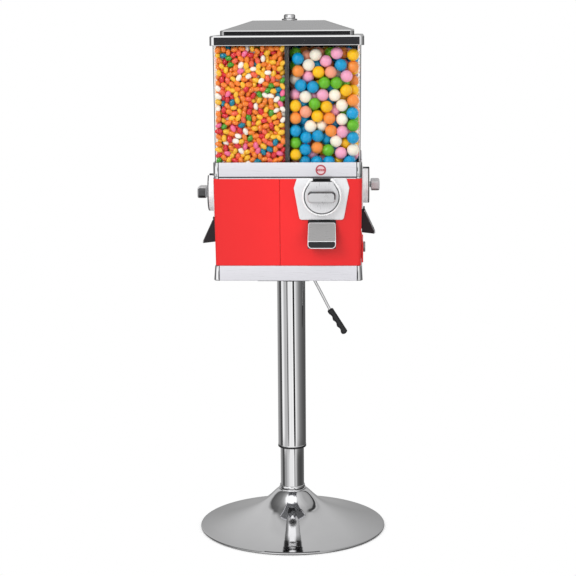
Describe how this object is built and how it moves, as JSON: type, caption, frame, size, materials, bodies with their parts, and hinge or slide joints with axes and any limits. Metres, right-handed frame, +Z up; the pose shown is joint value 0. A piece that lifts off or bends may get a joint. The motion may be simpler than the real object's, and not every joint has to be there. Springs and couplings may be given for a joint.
{
  "type": "bulk capsule toy and gumball vendor",
  "caption": "Square vendor on a swivel gas-lift stand: a coin handle, vend wheel, chute and flap on each face, clear divided hopper, lockable lid and cash door.",
  "frame": {"origin": "centre of the round foot, on the floor; every node keeps this origin at rest", "axes": "+Z up along the column, front face towards -Y, metres"},
  "size_m": [0.403, 0.403, 1.1071],
  "materials": {
    "chrome": "polished chrome plate",
    "satin_metal": "light satin nickel or chrome plate",
    "brushed_metal": "brushed grey metal",
    "zinc": "plain zinc-plated or die-cast metal",
    "red_paint": "bright red semi-gloss paint",
    "black_plastic": "black moulded plastic",
    "black_steel": "black painted steel",
    "floor_rubber": "black rubber",
    "clear_plastic": "clear polycarbonate",
    "dark_plastic": "dark smoky plastic sheet",
    "white_plastic": "white moulded plastic",
    "badge_enamel": "muted red enamel"
  },
  "bodies": {
    "base": {"base_disc": "chrome", "floor_ring": "floor_rubber", "neck_collar": "chrome", "inner_tube": "chrome", "guide_bush": "black_plastic", "thrust_bearing": "zinc"},
    "piston": {"piston_rod": "chrome"},
    "head": {"gas_cylinder": "black_steel", "outer_sleeve": "chrome", "sleeve_end_ring": "black_plastic", "mount_plate": "black_steel", "floor_pan": "zinc", "bottom_frame": "satin_metal", "panel_front": "red_paint", "panel_right": "red_paint", "panel_back": "red_paint", "panel_left": "red_paint", "mid_frame": "satin_metal", "hopper_floor": "satin_metal", "globe": "clear_plastic", "divider": "dark_plastic", "tie_rod": "zinc", "top_frame": "chrome", "badge": "badge_enamel", "faceplate_front": "satin_metal", "faceplate_right": "satin_metal", "faceplate_back": "satin_metal", "faceplate_left": "satin_metal", "chute_front": "black_plastic", "chute_right": "black_plastic", "chute_back": "black_plastic", "chute_left": "black_plastic"},
    "lever": {"lever_rod": "chrome", "lever_grip": "black_plastic"},
    "valve_button": {"valve_button": "zinc"},
    "lid": {"lid": "brushed_metal", "lid_lock_body": "chrome"},
    "lid_lock_plug": {"lid_lock_plug": "chrome"},
    "cash_door": {"cash_door": "red_paint", "door_lock_body": "chrome"},
    "door_lock_plug": {"door_lock_plug": "chrome"},
    "handle_front": {"handle_front": "satin_metal", "gear_front": "zinc"},
    "wheel_front": {"wheel_front": "white_plastic"},
    "flap_front": {"flap_front": "brushed_metal"},
    "handle_right": {"handle_right": "satin_metal", "gear_right": "zinc"},
    "wheel_right": {"wheel_right": "white_plastic"},
    "flap_right": {"flap_right": "brushed_metal"},
    "handle_back": {"handle_back": "satin_metal", "gear_back": "zinc"},
    "wheel_back": {"wheel_back": "white_plastic"},
    "flap_back": {"flap_back": "brushed_metal"},
    "handle_left": {"handle_left": "satin_metal", "gear_left": "zinc"},
    "wheel_left": {"wheel_left": "white_plastic"},
    "flap_left": {"flap_left": "brushed_metal"}
  },
  "joints": [
    {"name": "stand_swivel", "type": "hinge", "parent": "base", "child": "piston", "pos_m": [0, 0, 0.0304], "axis": [0, 0, 1], "continuous": true},
    {"name": "height_lift", "type": "slide", "parent": "piston", "child": "head", "axis": [0, 0, 1], "range_m": [-0.08, 0.13]},
    {"name": "lift_lever", "type": "hinge", "parent": "head", "child": "lever", "pos_m": [0.022, 0, 0.5638], "axis": [0, -1, 0], "range_deg": [0, 8]},
    {"name": "valve_press", "type": "slide", "parent": "head", "child": "valve_button", "axis": [0, 0, -1], "range_m": [0, 0.0032]},
    {"name": "lid_lift", "type": "slide", "parent": "head", "child": "lid", "axis": [0, 0, 1], "range_m": [0, 0.12]},
    {"name": "lid_lock", "type": "hinge", "parent": "lid", "child": "lid_lock_plug", "pos_m": [0, 0, 1.107], "axis": [0, 0, 1], "range_deg": [0, 90]},
    {"name": "cash_door_hinge", "type": "hinge", "parent": "head", "child": "cash_door", "pos_m": [0.1519, -0.0326, 0.607], "axis": [0, 0, 1], "range_deg": [0, 100]},
    {"name": "cash_door_lock", "type": "hinge", "parent": "cash_door", "child": "door_lock_plug", "pos_m": [0.141, -0.08, 0.6305], "axis": [1, 0, 0], "range_deg": [0, 90]},
    {"name": "handle_turn_front", "type": "hinge", "parent": "head", "child": "handle_front", "pos_m": [0.0695, -0.1704, 0.745], "axis": [0, 1, 0], "continuous": true},
    {"name": "wheel_spin_front", "type": "hinge", "parent": "head", "child": "wheel_front", "pos_m": [0.0695, -0.072, 0.7876], "axis": [0, 0, 1], "continuous": true},
    {"name": "flap_swing_front", "type": "hinge", "parent": "head", "child": "flap_front", "pos_m": [0.0695, -0.15643, 0.69294], "axis": [-1, 0, 0], "range_deg": [0, 65]},
    {"name": "handle_turn_right", "type": "hinge", "parent": "head", "child": "handle_right", "pos_m": [0.1704, 0.0695, 0.745], "axis": [-1, 0, 0], "continuous": true},
    {"name": "wheel_spin_right", "type": "hinge", "parent": "head", "child": "wheel_right", "pos_m": [0.072, 0.0695, 0.7876], "axis": [0, 0, 1], "continuous": true},
    {"name": "flap_swing_right", "type": "hinge", "parent": "head", "child": "flap_right", "pos_m": [0.15643, 0.0695, 0.69294], "axis": [0, -1, 0], "range_deg": [0, 65]},
    {"name": "handle_turn_back", "type": "hinge", "parent": "head", "child": "handle_back", "pos_m": [-0.0695, 0.1704, 0.745], "axis": [0, -1, 0], "continuous": true},
    {"name": "wheel_spin_back", "type": "hinge", "parent": "head", "child": "wheel_back", "pos_m": [-0.0695, 0.072, 0.7876], "axis": [0, 0, 1], "continuous": true},
    {"name": "flap_swing_back", "type": "hinge", "parent": "head", "child": "flap_back", "pos_m": [-0.0695, 0.15643, 0.69294], "axis": [1, 0, 0], "range_deg": [0, 65]},
    {"name": "handle_turn_left", "type": "hinge", "parent": "head", "child": "handle_left", "pos_m": [-0.1704, -0.0695, 0.745], "axis": [1, 0, 0], "continuous": true},
    {"name": "wheel_spin_left", "type": "hinge", "parent": "head", "child": "wheel_left", "pos_m": [-0.072, -0.0695, 0.7876], "axis": [0, 0, 1], "continuous": true},
    {"name": "flap_swing_left", "type": "hinge", "parent": "head", "child": "flap_left", "pos_m": [-0.15643, -0.0695, 0.69294], "axis": [0, 1, 0], "range_deg": [0, 65]}
  ],
  "couplings": [
    {"joint": "valve_press", "follows": "lift_lever", "m_per_rad": 0.022},
    {"joint": "wheel_spin_front", "follows": "handle_turn_front", "ratio": 0.9375},
    {"joint": "wheel_spin_right", "follows": "handle_turn_right", "ratio": 0.9375},
    {"joint": "wheel_spin_back", "follows": "handle_turn_back", "ratio": 0.9375},
    {"joint": "wheel_spin_left", "follows": "handle_turn_left", "ratio": 0.9375}
  ]
}
